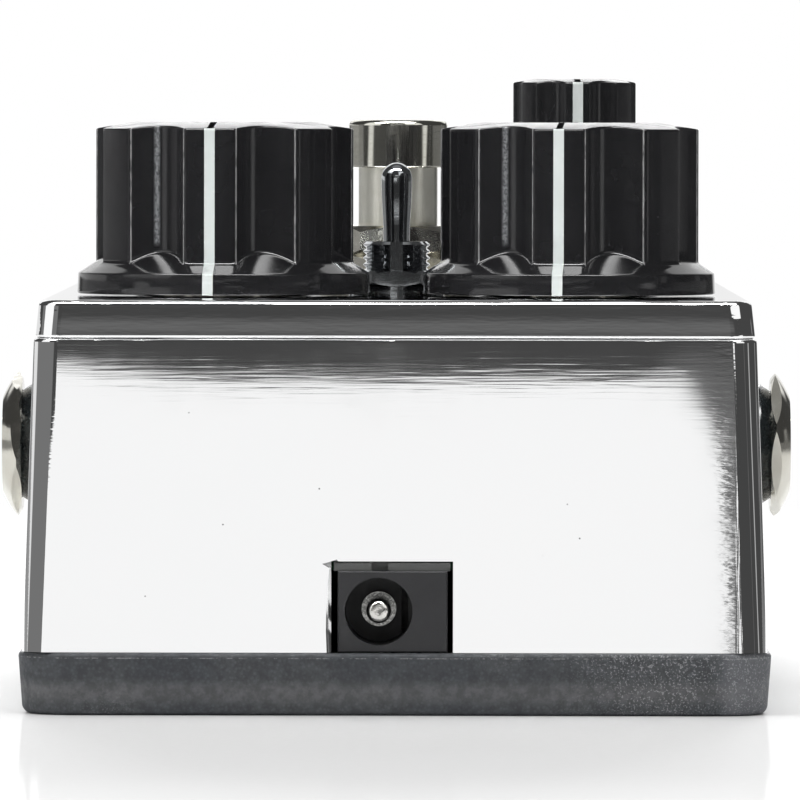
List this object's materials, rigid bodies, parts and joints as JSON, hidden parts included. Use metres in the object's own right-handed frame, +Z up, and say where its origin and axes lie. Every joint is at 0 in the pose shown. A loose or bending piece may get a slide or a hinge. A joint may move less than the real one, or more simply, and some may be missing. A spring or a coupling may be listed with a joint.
{
  "type": "guitar effects pedal",
  "caption": "Chromed stompbox with rubber boot, three fluted knobs, bat toggle, foot switch, side jacks and end power inlet.",
  "frame": {"origin": "centre of the boot's underside, on the floor", "axes": "+Z up, -Y towards the end with the power inlet, +X right when seen from that end"},
  "size_m": [0.0764, 0.121, 0.0593],
  "materials": {
    "chrome_plate": "polished chrome plating over a casting",
    "boot_rubber": "matte moulded rubber",
    "plate_steel": "zinc plated sheet",
    "screw_steel": "blackened steel",
    "knob_plastic": "glossy moulded phenolic",
    "pointer_paint": "white filled line",
    "set_screw_steel": "black oxide",
    "shaft_alloy": "turned",
    "nickel": "nickel plated",
    "dark_chrome": "bright plated",
    "pot_steel": "pressed, plated",
    "phenolic": "brown laminate",
    "toggle_red": "moulded",
    "lug_tin": "tinned",
    "switch_blue": "moulded",
    "spring_steel": "drawn wire",
    "jack_collar": "moulded",
    "jack_steel": "nickel plated",
    "inlet_plastic": "moulded",
    "pin_nickel": "nickel plated",
    "board": "solder mask",
    "capacitor_sleeve": "shrink sleeve",
    "capacitor_film": "dipped",
    "chip_epoxy": "moulded epoxy",
    "resistor_body": "lacquered",
    "led_lens": "tinted clear",
    "battery_case": "printed steel case, plain",
    "snap_plastic": "moulded",
    "wire_jacket": "extruded",
    "ribbon_jacket": "extruded"
  },
  "bodies": {
    "casing": {"base_plate": "plate_steel", "base_screws": "screw_steel", "battery": "battery_case", "battery_leads": "wire_jacket", "battery_snap": "snap_plastic", "dc_jack_contact": "jack_steel", "dc_jack_housing": "inlet_plastic", "dc_jack_pin": "pin_nickel", "electrolytic_capacitors": "capacitor_sleeve", "enclosure": "chrome_plate", "film_capacitors": "capacitor_film", "footswitch_body": "switch_blue", "footswitch_bushing": "nickel", "footswitch_lugs": "lug_tin", "footswitch_nuts": "nickel", "footswitch_spring": "spring_steel", "footswitch_washer": "nickel", "input_jack_bushing": "nickel", "input_jack_contacts": "jack_steel", "input_jack_frame": "jack_steel", "integrated_circuits": "chip_epoxy", "jack_collars": "jack_collar", "jack_nuts": "nickel", "led": "led_lens", "led_bezel": "dark_chrome", "main_board": "board", "output_jack_bushing": "nickel", "output_jack_contacts": "jack_steel", "output_jack_frame": "jack_steel", "pot_bushings": "nickel", "pot_can_left": "pot_steel", "pot_can_right": "pot_steel", "pot_can_small": "pot_steel", "pot_nuts": "nickel", "pot_wafers": "phenolic", "pot_washers": "nickel", "resistors": "resistor_body", "ribbon_cable": "ribbon_jacket", "rubber_boot": "boot_rubber", "toggle_body": "toggle_red", "toggle_bushing": "dark_chrome", "toggle_nut": "dark_chrome", "toggle_terminals": "lug_tin", "toggle_washers": "dark_chrome"},
    "left_knob": {"knob_left": "knob_plastic", "pointer_left": "pointer_paint", "set_screw_left": "set_screw_steel", "pot_shaft_left": "shaft_alloy"},
    "right_knob": {"knob_right": "knob_plastic", "pointer_right": "pointer_paint", "set_screw_right": "set_screw_steel", "pot_shaft_right": "shaft_alloy"},
    "small_knob": {"knob_small": "knob_plastic", "pointer_small": "pointer_paint", "set_screw_small": "set_screw_steel", "pot_shaft_small": "shaft_alloy"},
    "toggle": {"toggle_lever": "dark_chrome"},
    "footswitch": {"footswitch_button": "nickel"}
  },
  "joints": [
    {"name": "left_knob_turn", "type": "hinge", "parent": "casing", "child": "left_knob", "pos_m": [-0.0165, -0.027, 0.0485], "axis": [0, 0, 1], "range_deg": [-144.7, 155.3]},
    {"name": "right_knob_turn", "type": "hinge", "parent": "casing", "child": "right_knob", "pos_m": [0.0165, -0.027, 0.0485], "axis": [0, 0, 1], "range_deg": [-144.7, 155.3]},
    {"name": "small_knob_turn", "type": "hinge", "parent": "casing", "child": "small_knob", "pos_m": [0.0175, 0.0075, 0.0485], "axis": [0, 0, 1], "range_deg": [-152.3, 147.7]},
    {"name": "toggle_flip", "type": "hinge", "parent": "casing", "child": "toggle", "pos_m": [0, -0.017, 0.0409], "axis": [1, 0, 0], "range_deg": [-12, 12]},
    {"name": "footswitch_press", "type": "slide", "parent": "casing", "child": "footswitch", "axis": [0, 0, -1], "range_m": [0, 0.0025], "stiffness_N_per_m": 3000, "springref_m": -0.002, "deforming": ["footswitch_spring"]}
  ]
}
